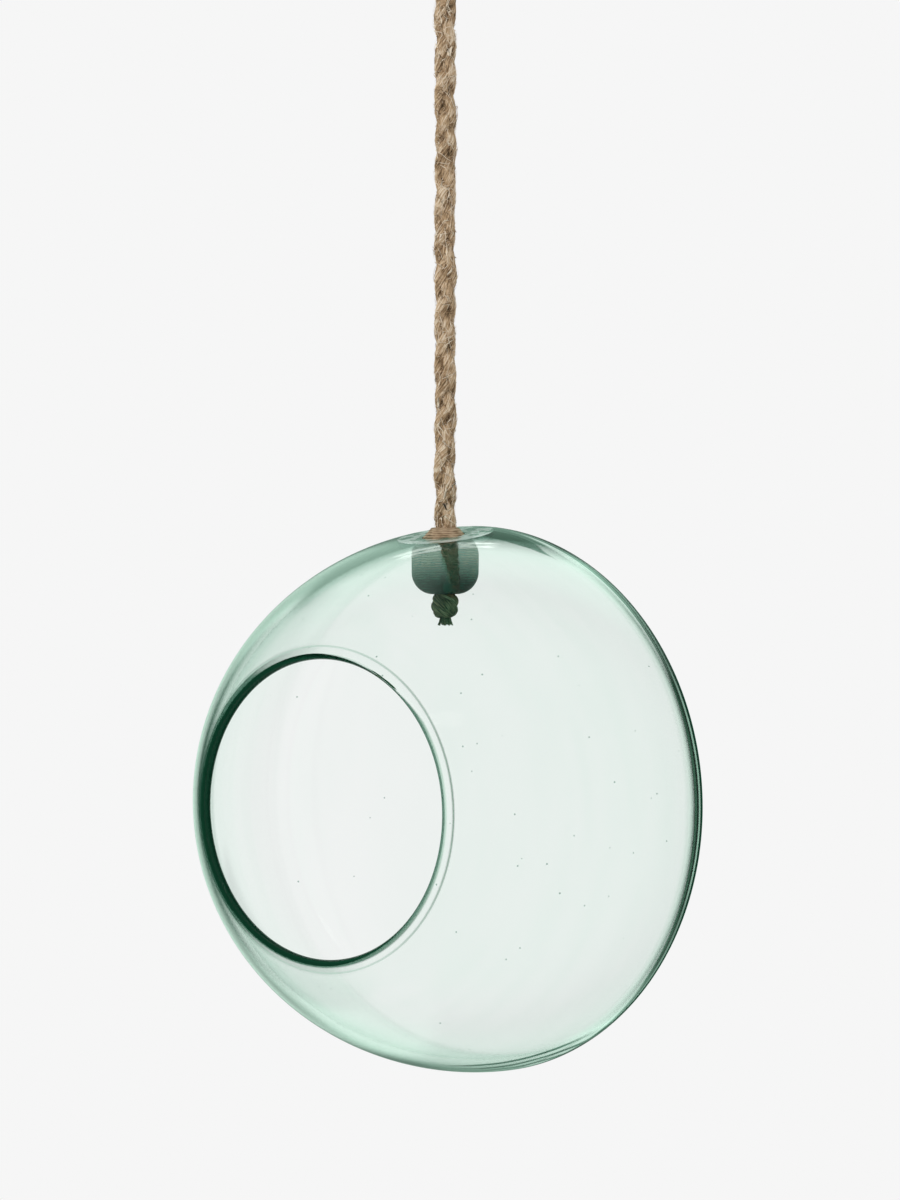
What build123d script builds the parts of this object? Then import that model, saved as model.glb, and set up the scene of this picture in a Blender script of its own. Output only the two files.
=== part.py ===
"""Hanging glass vase: a blown globe with a mouth in its side, hung by a turned stopper on a knotted rope.

The globe rests on the stopper's cone, and the stopper rests on the knot at the rope's lower end.
Sizes are in millimetres. +Z is up along the rope, and the mouth faces -Y.
The origin is the inside top of the rope's hanging loop, where a hook or peg carries it.
"""
import os
from math import acos, cos, hypot, pi, radians, sin, sqrt, tan

from build123d import *

os.makedirs("parts", exist_ok=True)

# Globe
globe_diameter = 230.0
dome_depth = 126.5      # from the widest circle to the dome's crown, as if the mouth were closed
back_depth = 34.0       # from the widest circle to the middle of the back
wall_at_rim = 5.0
wall_at_dome = 4.2
wall_at_back = 6.1
mouth_diameter = 123.6  # clear opening inside the lip
hole_forward = 22.0     # from the widest circle to the rope, towards the mouth
flat_depth = 1.7        # how deep the flat round the rope hole is ground
lip_round_share = 0.49  # radius of each lip edge, as a share of the wall: nearly a full round

# Stopper
stopper_diameter = 28.0
stopper_height = 28.0
stopper_cone_height = 9.4
stopper_shoulder_round = 8.0
stopper_base_round = 8.0
stopper_top_land = 0.9  # flat ring round the bore, on top of the cone
stopper_rise = 3.2      # how far the stopper stands out of the globe's flat, along the rope

# Rope
rope_diameter = 9.0
rope_drop = 230.0       # from the loop's knot to the globe's flat
end_knot_height = 8.8
end_knot_overhang = 1.4  # how far the end knot reaches past the stopper's bore, all round
end_knot_foot_diameter = 7.0
tail_length = 4.0
tail_neck_diameter = 5.0
tail_end_diameter = 7.2
loop_length = 75.0      # from the carrying point to the loop's knot
loop_knot_height = 30.0
loop_knot_diameter = 31.0
loop_knot_land = 0.7    # flat left on the loop's knot outside its two legs
leg_gap = 0.6           # between the loop's two legs where they leave the knot
leg_rise = 11.0         # straight start of each leg
peg_half_width = 21.5   # the route's widest point, beside the peg
peg_side_drop = 11.5    # that point's height below the carrying point
peg_top_half_width = 10.0

bend_share = 0.45       # part of the shorter run that each bend takes up

# Running clearances
bore_clearance = 0.3
seat_clearance = 0.3
rest_gap = 0.3

# Heights, from the carrying point down
rope_radius = rope_diameter / 2
loop_knot_top = -loop_length
loop_knot_bottom = loop_knot_top - loop_knot_height
flat_z = loop_knot_bottom - rope_drop
stopper_top = flat_z + stopper_rise
stopper_base = stopper_top - stopper_height
end_knot_top = stopper_base - rest_gap
end_knot_bottom = end_knot_top - end_knot_height
tail_bottom = end_knot_bottom - tail_length

# Route of the loop's centre line, as X and Z, from one leg over the peg to the other
leg_offset = rope_radius + leg_gap / 2
loop_knot_end_radius = leg_offset + rope_radius + loop_knot_land
loop_route = [
    (-leg_offset, loop_knot_top),
    (-leg_offset, loop_knot_top + leg_rise),
    (-peg_half_width, -peg_side_drop),
    (-peg_top_half_width, rope_radius),
    (peg_top_half_width, rope_radius),
    (peg_half_width, -peg_side_drop),
    (leg_offset, loop_knot_top + leg_rise),
    (leg_offset, loop_knot_top),
]

# Stopper and rope hole
bore_radius = rope_radius + bore_clearance
stopper_radius = stopper_diameter / 2
stopper_top_radius = bore_radius + stopper_top_land
cone_slope = (stopper_radius - stopper_top_radius) / stopper_cone_height
seat_offset = seat_clearance * hypot(1, cone_slope)


def seat_radius(z):
    """Radius of the globe's tapered hole at a height, parallel to the stopper's cone."""
    return stopper_top_radius + (stopper_top - z) * cone_slope + seat_offset


# Globe: radial distance r and distance s in front of the widest circle, on an upright section
globe_radius = globe_diameter / 2
inner_radius = globe_radius - wall_at_rim
inner_dome = dome_depth - wall_at_dome
inner_back = back_depth - wall_at_back
hole_r = globe_radius * sqrt(1 - (hole_forward / dome_depth) ** 2)
normal_r = hole_r / globe_radius**2
normal_s = hole_forward / dome_depth**2
normal_length = hypot(normal_r, normal_s)
normal_r = normal_r / normal_length
normal_s = normal_s / normal_length
axis_z = flat_z - (hole_r - flat_depth / normal_r)
globe_origin = (0, hole_forward, axis_z)
globe_axis = Axis(globe_origin, (0, -1, 0))
section_plane = Plane(origin=globe_origin, x_dir=(0, 0, -1), z_dir=(-1, 0, 0))
flat_plane = Plane(origin=(0, 0, flat_z), x_dir=(1, 0, 0), z_dir=(0, -normal_s, normal_r))
# The lip's round has its middle half a wall outside the clear opening, and the wall ends half a wall past it
lip_wall = (wall_at_rim + wall_at_dome) / 2
middle_radius = globe_radius - wall_at_rim / 2
middle_dome = dome_depth - wall_at_dome / 2
round_turn = acos((mouth_diameter / 2 + lip_wall / 2) / middle_radius)
round_travel = hypot(middle_radius * sin(round_turn), middle_dome * cos(round_turn))
lip_turn = round_turn + lip_wall / 2 / round_travel


def ellipse_span(radius, depth, turn):
    """Control points of an ellipse's curve, from the widest circle through a turn towards a depth."""
    reach = 4 / 3 * tan(turn / 4)
    return [
        (radius, 0),
        (radius, depth * reach),
        (radius * (cos(turn) + reach * sin(turn)), depth * (sin(turn) - reach * cos(turn))),
        (radius * cos(turn), depth * sin(turn)),
    ]


with BuildPart() as globe:
    with BuildSketch(section_plane) as globe_section:
        with BuildLine():
            outer_back = Bezier(*ellipse_span(globe_radius, -back_depth, pi / 2))
            outer_dome = Bezier(*ellipse_span(globe_radius, dome_depth, lip_turn))
            back_inside = Bezier(*ellipse_span(inner_radius, -inner_back, pi / 2))
            dome_inside = Bezier(*ellipse_span(inner_radius, inner_dome, lip_turn))
            lip = Line(outer_dome @ 1, dome_inside @ 1)
            Line(outer_back @ 1, back_inside @ 1)
        make_face()
        lip_corners = globe_section.vertices().sort_by(Axis.Y)[-2:]
        fillet(lip_corners, lip_round_share * lip.length)
    revolve(axis=globe_axis)
    # Flat ground on the dome's top
    with BuildSketch(flat_plane):
        Circle(globe_radius)
    extrude(amount=globe_radius, mode=Mode.SUBTRACT)
    # Tapered hole that seats on the stopper's cone
    with BuildSketch(Plane.XZ):
        hole_bottom = stopper_top - stopper_cone_height - wall_at_rim
        Polygon(
            (0, hole_bottom),
            (seat_radius(hole_bottom), hole_bottom),
            (seat_radius(stopper_top), stopper_top),
            (0, stopper_top),
            align=None,
        )
    revolve(axis=Axis.Z, mode=Mode.SUBTRACT)

with BuildPart() as stopper:
    with BuildSketch(Plane.XZ) as stopper_section:
        with BuildLine():
            Polyline(
                (bore_radius, stopper_base),
                (stopper_radius, stopper_base),
                (stopper_radius, stopper_top - stopper_cone_height),
                (stopper_top_radius, stopper_top),
                (bore_radius, stopper_top),
                close=True,
            )
        make_face()
        outer_corners = stopper_section.vertices().group_by(Axis.X)[-1].sort_by(Axis.Y)
        fillet(outer_corners[0], stopper_base_round)
        fillet(outer_corners[1], stopper_shoulder_round)
    revolve(axis=Axis.Z)

# Taut stretch of the rope, from the end knot through the stopper to the loop's knot
with BuildPart() as rope_run:
    with BuildSketch(Plane.XY.offset(end_knot_top)):
        Circle(rope_radius)
    extrude(amount=loop_knot_bottom - end_knot_top)

with BuildPart() as end_knot:
    with BuildSketch(Plane.XZ):
        with BuildLine():
            knot_side = ThreePointArc(
                (rope_radius, end_knot_top),
                (bore_radius + end_knot_overhang, end_knot_top - end_knot_height / 2),
                (end_knot_foot_diameter / 2, end_knot_bottom),
            )
            Polyline(knot_side @ 0, (0, end_knot_top), (0, end_knot_bottom), knot_side @ 1)
        make_face()
    revolve(axis=Axis.Z)

# Frayed end below the knot
with BuildPart() as rope_tail:
    with BuildSketch(Plane.XY.offset(end_knot_bottom)):
        Circle(tail_neck_diameter / 2)
    with BuildSketch(Plane.XY.offset(tail_bottom)):
        Circle(tail_end_diameter / 2)
    loft()

with BuildPart() as loop_knot:
    with BuildSketch(Plane.XZ):
        with BuildLine():
            loop_knot_side = ThreePointArc(
                (loop_knot_end_radius, loop_knot_top),
                (loop_knot_diameter / 2, (loop_knot_top + loop_knot_bottom) / 2),
                (loop_knot_end_radius, loop_knot_bottom),
            )
            Polyline(loop_knot_side @ 0, (0, loop_knot_top), (0, loop_knot_bottom), loop_knot_side @ 1)
        make_face()
    revolve(axis=Axis.Z)

loop_points = [Vector(x, 0, z) for x, z in loop_route]
loop_bends = []
for before, corner, after in zip(loop_points, loop_points[1:], loop_points[2:]):
    run_in = corner - before
    run_out = after - corner
    half_turn = radians(run_in.get_angle(run_out)) / 2
    loop_bends.append(bend_share * min(run_in.length, run_out.length) / tan(half_turn))

with BuildPart() as hanging_loop:
    with BuildLine() as loop_line:
        FilletPolyline(*loop_points, radius=loop_bends)
    with BuildSketch(Plane(origin=loop_points[0], z_dir=loop_points[1] - loop_points[0])):
        Circle(rope_radius)
    sweep()

rope_section = pi * rope_radius**2
loop_line_length = loop_line.wires()[0].length
print("loop bend radii, mm:", [round(bend, 1) for bend in loop_bends])
print("loop: volume", round(hanging_loop.part.volume), "expected", round(rope_section * loop_line_length))
print("run: volume", round(rope_run.part.volume), "length", round(loop_knot_bottom - end_knot_top, 1))
print("length round the loop", round(loop_line_length, 1))
# The globe rises with the stopper until its floor meets the rope's lower end
tail_front = hole_forward + tail_end_diameter / 2
floor_drop = inner_radius * sqrt(1 - (tail_front / inner_dome) ** 2)
print("rise until the rope's end meets the globe's floor", round(tail_bottom - (axis_z - floor_drop), 1))
print("rise until the stopper meets the loop's knot", round(loop_knot_bottom - stopper_top, 1))
globe_balance = globe.part.center(CenterOf.MASS)
print("globe's middle of mass in front of the rope", round(-globe_balance.Y, 2))

pieces = {
    "globe": globe,
    "stopper": stopper,
    "rope_run": rope_run,
    "end_knot": end_knot,
    "rope_tail": rope_tail,
    "loop_knot": loop_knot,
    "hanging_loop": hanging_loop,
}
for name, piece in pieces.items():
    piece.part.label = name
    export_step(piece.part, f"parts/{name}.step")
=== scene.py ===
"""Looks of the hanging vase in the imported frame: glass globe, turned wooden stopper and plaited rope."""

from functools import partial
from math import acos, asin, cos, hypot, pi, radians, sin, sqrt

import bpy
import numpy as np
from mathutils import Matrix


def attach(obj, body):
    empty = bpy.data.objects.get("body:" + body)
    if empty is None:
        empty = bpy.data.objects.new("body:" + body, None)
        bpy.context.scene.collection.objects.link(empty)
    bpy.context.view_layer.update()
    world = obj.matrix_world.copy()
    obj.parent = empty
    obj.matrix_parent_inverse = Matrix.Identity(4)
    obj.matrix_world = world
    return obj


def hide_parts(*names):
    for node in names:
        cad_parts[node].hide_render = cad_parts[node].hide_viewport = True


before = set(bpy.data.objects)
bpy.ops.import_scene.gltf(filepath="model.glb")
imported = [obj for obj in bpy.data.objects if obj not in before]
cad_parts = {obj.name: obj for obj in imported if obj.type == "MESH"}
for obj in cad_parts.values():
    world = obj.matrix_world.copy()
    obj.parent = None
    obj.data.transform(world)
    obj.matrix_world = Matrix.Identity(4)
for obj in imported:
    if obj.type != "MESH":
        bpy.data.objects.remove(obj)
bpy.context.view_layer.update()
scene = bpy.context.scene

# Sizes in metres, as in the part's source, apart from the stopper's base, which is rounder here
MM = 0.001
GLOBE_RADIUS = 115 * MM
DOME_DEPTH = 126.5 * MM
BACK_DEPTH = 34 * MM
INNER_RADIUS = 110 * MM
INNER_DOME = 122.3 * MM
INNER_BACK = 27.9 * MM
MOUTH_RADIUS = 61.8 * MM
LIP_WALL = 4.6 * MM
HOLE_FORWARD = 22 * MM
FLAT_DEPTH = 1.7 * MM
FLAT_Z = -335 * MM
STOPPER_RADIUS = 14 * MM
STOPPER_TOP = -331.8 * MM
STOPPER_BASE = -359.8 * MM
STOPPER_CONE = 9.4 * MM
STOPPER_ROUND = 8 * MM
STOPPER_BASE_ROUND = 9 * MM
STOPPER_TOP_RADIUS = 5.7 * MM
BORE_RADIUS = 4.8 * MM
SEAT_OFFSET = 0.4 * MM
END_KNOT_TOP = -360.1 * MM
END_KNOT_BOTTOM = -368.9 * MM
TAIL_BOTTOM = -372.9 * MM
LOOP_KNOT_TOP = -75 * MM
LOOP_KNOT_BOTTOM = -105 * MM
LEG_OFFSET = 4.8 * MM
RUN_ROUTE = [(0, 0, END_KNOT_TOP), (0, 0, -232 * MM), (0, 0, LOOP_KNOT_BOTTOM)]
LOOP_ROUTE = [
    (x * MM, 0, z * MM)
    for x, z in (
        (-4.8, -75), (-4.8, -64), (-21.5, -11.5), (-10, 4.5),
        (10, 4.5), (21.5, -11.5), (4.8, -64), (4.8, -75),
    )
]

# Camera of the photograph: it stands to the right of the mouth and a little above the globe's middle
CAMERA_AZIMUTH = radians(37.87)
CAMERA_ELEVATION = radians(3.15)
CAMERA_DISTANCE = 3.372
CAMERA_TURN = radians(38.067)
CAMERA_PITCH = radians(1.726)
CAMERA_LENS = 240

# Globe, from its middle on the widest circle's plane
SEAM_FORWARD = 102.5 * MM
CONE_SLOPE = (STOPPER_RADIUS - STOPPER_TOP_RADIUS) / STOPPER_CONE
hole_r = GLOBE_RADIUS * sqrt(1 - (HOLE_FORWARD / DOME_DEPTH) ** 2)
normal_length = hypot(hole_r / GLOBE_RADIUS**2, HOLE_FORWARD / DOME_DEPTH**2)
NORMAL_R = hole_r / GLOBE_RADIUS**2 / normal_length
NORMAL_S = HOLE_FORWARD / DOME_DEPTH**2 / normal_length
AXIS_Z = FLAT_Z - (hole_r - FLAT_DEPTH / NORMAL_R)
LIP_TURN = acos((MOUTH_RADIUS + LIP_WALL / 2) / ((GLOBE_RADIUS + INNER_RADIUS) / 2))
GLOBE_MIDDLE = np.array([0, HOLE_FORWARD, AXIS_Z])
FLAT_NORMAL = np.array([0, -NORMAL_S, NORMAL_R])
GLOBE_SIDES = 256
CUTTER_SIDES = 128
WALL_MARGIN = 2e-3          # share of its size by which a face may miss a wall
OUTSIDE_LEVEL = 0.985       # past this share of its size the wall is the outside
STOPPER_SIDES = 96

# Plaited rope
PLAIT_PITCH = 47 * MM
PLAIT_STEP = 1.0 * MM
STRAND_LAY = 26 * MM
STRAND_WIDTH_SHARE = 0.285  # half a strand's width, as a share of the plait's
STRAND_DEPTH_SHARE = 0.29
STRAND_WANDER = 0.07        # how much a strand's width and depth vary
YARN_RIDGE = 0.13           # how far the yarns stand out of a strand
BARE_END = 8 * MM           # stretch at a strand's ends that grows no loose fibres
LAY_UNIT = 0.01             # length of strand to one unit of its map
KNOT_TURNS = 2.75
KNOT_START = 0.6            # angle of the first turn's start
KNOT_RADIUS = 11.2 * MM     # of the turns' centre line
KNOT_TAPER = 1.5 * MM
KNOT_END = 5.2 * MM         # from the knot's top to the first turn's centre line
KNOT_DROP = 19.6 * MM
FRAY_COUNT = 46
FRAY_START = 1.6 * MM       # how far the frayed fibres reach up into the end knot

# Glass, floor and studio
GLASS_IOR = 1.5
GLASS_SPECULAR = (0.3, 0.32, 0.3, 1)
# Bearing of the dark streak painted on the stopper's wood as the rope's reflection
ROPE_REFLECTION_AZIMUTH = radians(49.87)
FLOOR_Z = -0.95
FLOOR_RADIUS = 7
PAPER = 0.9216
WHITE = (1, 1, 1)


def unit(v):
    """Vectors of length 1, along the last axis."""
    return v / np.maximum(np.linalg.norm(v, axis=-1, keepdims=True), 1e-12)


def progress(values, start, end, least=0):
    """How far values have come from start to end, between least and 1."""
    return np.clip((values - start) / (end - start), least, 1)


def lengths(points):
    """Distance along a line to each of its points."""
    return np.concatenate([[0], np.cumsum(np.linalg.norm(np.diff(points, axis=0), axis=1))])


def at_marks(points, marks):
    """The line's points at some distances along it."""
    along = lengths(points)
    return np.stack([np.interp(marks, along, column) for column in points.T], axis=1)


def evenly(points, step):
    """The line's points at even distances, with each one's distance from the start."""
    length = lengths(points)[-1]
    marks = np.linspace(0, length, max(3, int(round(length / step)) + 1))
    return at_marks(points, marks), marks


def square_to(side, tangent):
    """The part of a direction that is square to a line, with length 1."""
    side = np.asarray(side, float)
    return unit(side - (side * tangent).sum(-1, keepdims=True) * tangent)


def seat_radius(z):
    """Radius of the globe's tapered hole at a height."""
    return STOPPER_TOP_RADIUS + (STOPPER_TOP - z) * CONE_SLOPE + SEAT_OFFSET


def upright(r, z, angle):
    """A place on a body that is turned about the rope."""
    return (r * cos(angle), r * sin(angle), z)


def new_piece(name, vertices, faces):
    """A smooth mesh object at the origin."""
    mesh = bpy.data.meshes.new(name)
    mesh.from_pydata([tuple(map(float, v)) for v in vertices], [], faces)
    mesh.polygons.foreach_set("use_smooth", [True] * len(mesh.polygons))
    mesh.update()
    piece = bpy.data.objects.new(name, mesh)
    scene.collection.objects.link(piece)
    return piece


def evaluated_mesh(piece):
    """The piece's mesh with its modifiers applied."""
    bpy.context.view_layer.update()
    depsgraph = bpy.context.evaluated_depsgraph_get()
    return bpy.data.meshes.new_from_object(piece.evaluated_get(depsgraph))


def read(items, key, width=1, kind=float):
    """One property of all of a mesh's items, with a row for each item."""
    values = np.empty(len(items) * width, kind)
    items.foreach_get(key, values)
    return values.reshape(-1, width) if width > 1 else values


def lathe(profile, segments, place):
    """Vertices and faces of a closed profile turned about an axis.

    place puts a radius, a distance along the axis and an angle in space.
    """
    count = len(profile)
    vertices, rings, faces = [], [], []
    for r, d in profile:
        if r < 1e-9:
            rings.append([len(vertices)] * segments)
            vertices.append(place(0, d, 0))
        else:
            rings.append(range(len(vertices), len(vertices) + segments))
            vertices.extend(place(r, d, 2 * pi * k / segments) for k in range(segments))
    closed = profile[0][0] > 1e-9
    for i in range(count if closed else count - 1):
        a, b = rings[i], rings[(i + 1) % count]
        for k in range(segments):
            m = (k + 1) % segments
            corners = [a[k], a[m], b[m], b[k]]
            corners = [c for j, c in enumerate(corners) if c != corners[j - 1]]
            if len(corners) > 2:
                faces.append(corners)
    return vertices, faces


# Camera
camera_data = bpy.data.cameras.new("camera")
camera_data.lens = CAMERA_LENS
camera_data.sensor_width = 36
camera_data.clip_end = 60
camera = bpy.data.objects.new("camera", camera_data)
scene.collection.objects.link(camera)
camera.location = GLOBE_MIDDLE + CAMERA_DISTANCE * np.array([
    sin(CAMERA_AZIMUTH) * cos(CAMERA_ELEVATION),
    -cos(CAMERA_AZIMUTH) * cos(CAMERA_ELEVATION),
    sin(CAMERA_ELEVATION),
])
camera.rotation_euler = (pi / 2 - CAMERA_PITCH, 0, CAMERA_TURN)
scene.camera = camera
scene.view_settings.view_transform = "Standard"

# Fixed level directions of the part and the studio: to the right and away, as the photograph shows them
to_right = np.array([cos(CAMERA_AZIMUTH), sin(CAMERA_AZIMUTH), 0])
away_from_front = np.array([-sin(CAMERA_AZIMUTH), cos(CAMERA_AZIMUTH), 0])


# Rope
def route_line(name, route):
    """Points along the smooth line whose control points are a route's points."""
    curve = bpy.data.curves.new(name, "CURVE")
    curve.dimensions = "3D"
    curve.resolution_u = 48
    spline = curve.splines.new("NURBS")
    spline.points.add(len(route) - 1)
    for point, place in zip(spline.points, route):
        point.co = (*place, 1)
    spline.order_u = 3
    spline.use_endpoint_u = True
    line = bpy.data.objects.new(name, curve)
    scene.collection.objects.link(line)
    mesh = evaluated_mesh(line)
    points = np.array([v.co for v in mesh.vertices])
    bpy.data.objects.remove(line)
    bpy.data.curves.remove(curve)
    bpy.data.meshes.remove(mesh)
    return points


def drift(marks, period, seed):
    """A smooth random wander along a line, about from -1 to 1."""
    rng = np.random.default_rng(seed)
    return sum(
        np.sin(2 * pi * marks / (period * p) + rng.uniform(0, 2 * pi)) * w
        for p, w in ((1.0, 0.5), (0.61, 0.35), (0.37, 0.25), (1.9, 0.4))
    ) / 1.1


class Yarn:
    """Collects twisted strands as one mesh, with the data that the rope's material reads."""

    def __init__(self):
        self.rows = {key: [] for key in ("vertices", "uv", "flow", "hollow", "tone", "grow")}
        self.faces = []
        self.count = 0

    def add(self, **rows):
        """Adds vertices with their data."""
        for key, values in rows.items():
            self.rows[key].append(values)

    def strand(self, centre, marks, side, half_width, half_depth, lay, crevice_shade_of, seed, lobes=8, around=32):
        """A strand along centre, flattened, with its yarns laid round it.

        side is the flat side's direction, and the depth function gives each vertex its painted shade, which
        is darker the deeper in the rope the vertex lies.
        """
        tangent = unit(np.gradient(centre, axis=0))
        flat = square_to(side, tangent)
        over = np.cross(tangent, flat)
        angle = 2 * pi * np.arange(around) / around
        wide = half_width * (1 + STRAND_WANDER * drift(marks, 0.021, seed))[:, None]
        deep = half_depth * (1 + STRAND_WANDER * drift(marks, 0.017, seed + 50))[:, None]
        twist = (2 * pi * marks / lay + 0.35 * drift(marks, 0.03, seed + 90))[:, None]
        phase = lobes * (angle - twist) / 2
        ridge = np.abs(np.cos(phase)) - 0.6
        rng = np.random.default_rng(seed)
        uneven = rng.uniform(0.6, 1.4, lobes)
        which = np.floor(phase / pi + 0.5).astype(int) % lobes
        swell = 1 + YARN_RIDGE * ridge * uneven[which]
        ring = (
            centre[:, None]
            + flat[:, None] * (wide * swell * np.cos(angle))[..., None]
            + over[:, None] * (deep * swell * np.sin(angle))[..., None]
        ).reshape(-1, 3)
        rings = len(centre)
        start = self.count
        uv = np.stack(np.broadcast_arrays((angle - twist) / (2 * pi), marks[:, None] / LAY_UNIT), axis=-1)
        uv = (uv + [seed * 0.37, seed * 0.71]).reshape(-1, 2)
        self.add(
            vertices=ring,
            uv=uv,
            flow=np.repeat(tangent, around, axis=0),
            hollow=crevice_shade_of(ring, np.repeat(np.arange(rings), around)) * 1.0,
            tone=rng.uniform(0, 1, lobes)[which].reshape(-1),
            grow=np.repeat(np.minimum(marks, marks[-1] - marks) > BARE_END, around) * 1.0,
        )
        k = np.arange(around)
        after = (k + 1) % around
        for i in range(rings - 1):
            a, b = start + i * around, start + (i + 1) * around
            self.faces.extend(np.stack([a + k, a + after, b + after, b + k], axis=1).tolist())
        # Rounded ends
        for i, out in ((0, -1), (rings - 1, 1)):
            tip = start + rings * around + (0 if out < 0 else 1)
            self.add(
                vertices=(centre[i] + out * tangent[i] * half_depth * 0.35)[None, :],
                uv=uv[:1], flow=tangent[i][None, :], hollow=[0.5], tone=[0.5], grow=[0.0],
            )
            edge = [start + i * around + k, start + i * around + after]
            self.faces.extend(np.stack([*edge[::out], np.full(around, tip)], axis=1).tolist())
        self.count += rings * around + 2

    def plait(self, points, side, seed, turn, width=8.9 * MM, thick=6.9 * MM):
        """Three strands plaited along a line; side is the direction of the plait's width."""
        line, marks = evenly(points, PLAIT_STEP)
        tangent = unit(np.gradient(line, axis=0))
        across = square_to(side, tangent)
        through = np.cross(tangent, across)
        roll = turn * drift(marks, 0.09, seed + 7)[:, None]
        across, through = (
            across * np.cos(roll) + through * np.sin(roll),
            through * np.cos(roll) - across * np.sin(roll),
        )
        half_width, half_depth = STRAND_WIDTH_SHARE * width, STRAND_DEPTH_SHARE * thick
        reach = width / 2 - half_width
        lift = thick / 2 - half_depth
        line = line + across * 0.00025 * drift(marks, 0.05, seed + 3)[:, None]

        # Painted shade: the deeper a vertex lies in the plait, the darker its colour
        def crevice_shade_of(vertices, rows):
            local = vertices - line[rows]
            x = (local * across[rows]).sum(-1) / (width / 2)
            y = (local * through[rows]).sum(-1) / (thick / 2)
            return np.clip(1 - np.hypot(x, y), 0, 1)

        for i in range(3):
            turnings = 2 * pi * (marks / PLAIT_PITCH + i / 3) + 0.3 * drift(marks, 0.06, seed + 11)
            centre = (
                line
                + across * (reach * np.sin(turnings))[:, None]
                + through * (lift * np.sin(2 * turnings))[:, None]
            )
            self.strand(centre, marks, across, half_width, half_depth, STRAND_LAY, crevice_shade_of, seed * 10 + i)

    def piece(self, name):
        """The collected strands as one mesh object."""
        rows = {key: np.concatenate(values) for key, values in self.rows.items()}
        piece = new_piece(name, rows["vertices"], self.faces)
        mesh = piece.data
        corner_vertex = read(mesh.loops, "vertex_index", kind=np.int32)
        mesh.uv_layers.new(name="lay").data.foreach_set("uv", rows["uv"][corner_vertex].ravel())
        flow = mesh.attributes.new("flow", "FLOAT_VECTOR", "POINT")
        flow.data.foreach_set("vector", rows["flow"].ravel())
        for label in ("hollow", "tone", "grow"):
            mesh.attributes.new(label, "FLOAT", "POINT").data.foreach_set("value", rows[label])
        return piece


# Nodes
def feed(made, inputs):
    """Fills a node's inputs: a socket is linked, and a value is set."""
    for key, value in inputs.items():
        if isinstance(value, bpy.types.NodeSocket):
            made.id_data.links.new(value, made.inputs[key])
        else:
            made.inputs[key].default_value = value


def new_node(tree, kind, inputs=None, **settings):
    """A new node with its settings and its inputs."""
    made = tree.nodes.new(kind)
    for key, value in settings.items():
        setattr(made, key, value)
    feed(made, inputs or {})
    return made


def node(tree, kind, inputs=None, **settings):
    """The outputs of a new node."""
    return new_node(tree, kind, inputs, **settings).outputs


def follow(kind, inputs, **settings):
    """The outputs of a new node in the tree of the sockets that it is linked to."""
    socket = next(value for value in inputs.values() if isinstance(value, bpy.types.NodeSocket))
    return node(socket.id_data, kind, inputs, **settings)


def maths(operation, *values):
    """The result of a maths node."""
    return follow("ShaderNodeMath", dict(enumerate(values)), operation=operation)[0]


def product(first, *others):
    """Values multiplied together."""
    for other in others:
        first = maths("MULTIPLY", first, other)
    return first


def total(start, *parts):
    """A sum of values, each by its weight."""
    for part, weight in parts:
        start = maths("MULTIPLY_ADD", part, weight, start)
    return start


def eased(value, low, high):
    """How far a value has come from low to high, eased at both ends."""
    return follow("ShaderNodeMapRange", {
        "Value": value, "From Min": low, "From Max": high,
    }, interpolation_type="SMOOTHSTEP")["Result"]


def window(*sides):
    """How far all of some values have come, each from its low to its high."""
    return product(*(eased(*side) for side in sides))


def vector(operation, *values, out="Vector"):
    """The result of a vector maths node."""
    return follow("ShaderNodeVectorMath", dict(enumerate(values)), operation=operation)[out]


def dot(first, second):
    """The product of two directions."""
    return vector("DOT_PRODUCT", first, tuple(second), out="Value")


def scaled(place, factor):
    """A vector by a factor."""
    return follow("ShaderNodeVectorMath", {0: place, "Scale": factor}, operation="SCALE")[0]


def noise(place, scale, detail, **others):
    """A noise texture's value."""
    inputs = {"Vector": place, "Scale": scale, "Detail": detail, **others}
    return follow("ShaderNodeTexNoise", inputs)["Fac"]


def stretched(place, scale):
    """Places by a scale for each axis."""
    return follow("ShaderNodeMapping", {"Vector": place, "Scale": scale})["Vector"]


def object_place(tree):
    """Places on the object."""
    return node(tree, "ShaderNodeTexCoord")["Object"]


def attribute(tree, name):
    """A value that the mesh carries."""
    return node(tree, "ShaderNodeAttribute", attribute_name=name)["Fac"]


def blend(share, first, second, kind="MIX"):
    """Two colours, the second one by its share; the node's sockets are found by place, as names repeat."""
    inputs = {0: share, 6: first, 7: second}
    return follow("ShaderNodeMix", inputs, data_type="RGBA", blend_type=kind)[2]


def colour_ramp(factor, *stops):
    """A colour ramp of (place, colour) stops."""
    ramp = new_node(factor.id_data, "ShaderNodeValToRGB", {"Fac": factor})
    elements = ramp.color_ramp.elements
    for element, (place, colour) in ((elements[0], stops[0]), (elements[1], stops[-1])):
        element.position = place
        element.color = (*colour, 1)
    for place, colour in stops[1:-1]:
        elements.new(place).color = (*colour, 1)
    return ramp.outputs["Color"]


def spanned(value, low, high):
    """A value from 0 to 1, spread from low to high."""
    return follow("ShaderNodeMapRange", {"Value": value, "To Min": low, "To Max": high})["Result"]


def bumped(height, strength, distance):
    """The normal of a bumped surface."""
    inputs = {"Height": height, "Strength": strength, "Distance": distance}
    return follow("ShaderNodeBump", inputs)["Normal"]


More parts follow.
